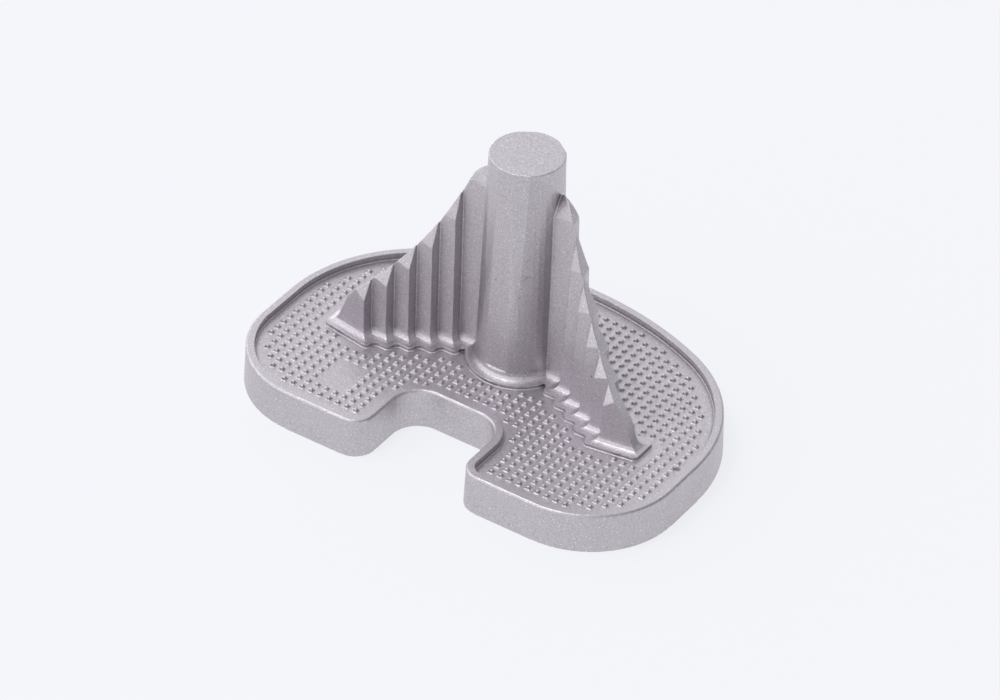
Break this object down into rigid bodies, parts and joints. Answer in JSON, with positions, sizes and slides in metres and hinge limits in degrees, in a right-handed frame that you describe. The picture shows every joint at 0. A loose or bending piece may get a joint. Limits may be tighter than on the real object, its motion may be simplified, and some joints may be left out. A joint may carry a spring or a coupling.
{
  "type": "tibial tray",
  "caption": "Cast tibial baseplate of a knee implant: notched kidney plate with a pegged cement pocket, a round stem and two stepped keel fins.",
  "frame": {"origin": "where the stem's axis meets the plate's flat face", "axes": "+X across the plate from side to side, +Y away from the notch, +Z along the stem from the flat face to the stem's tip"},
  "size_m": [0.0728, 0.0485, 0.0426],
  "materials": {
    "cast_metal": "raw investment casting in cobalt-chrome, bead-blasted to an even satin grey"
  },
  "bodies": {
    "root": {"tibial_tray": "cast_metal"}
  },
  "joints": []
}
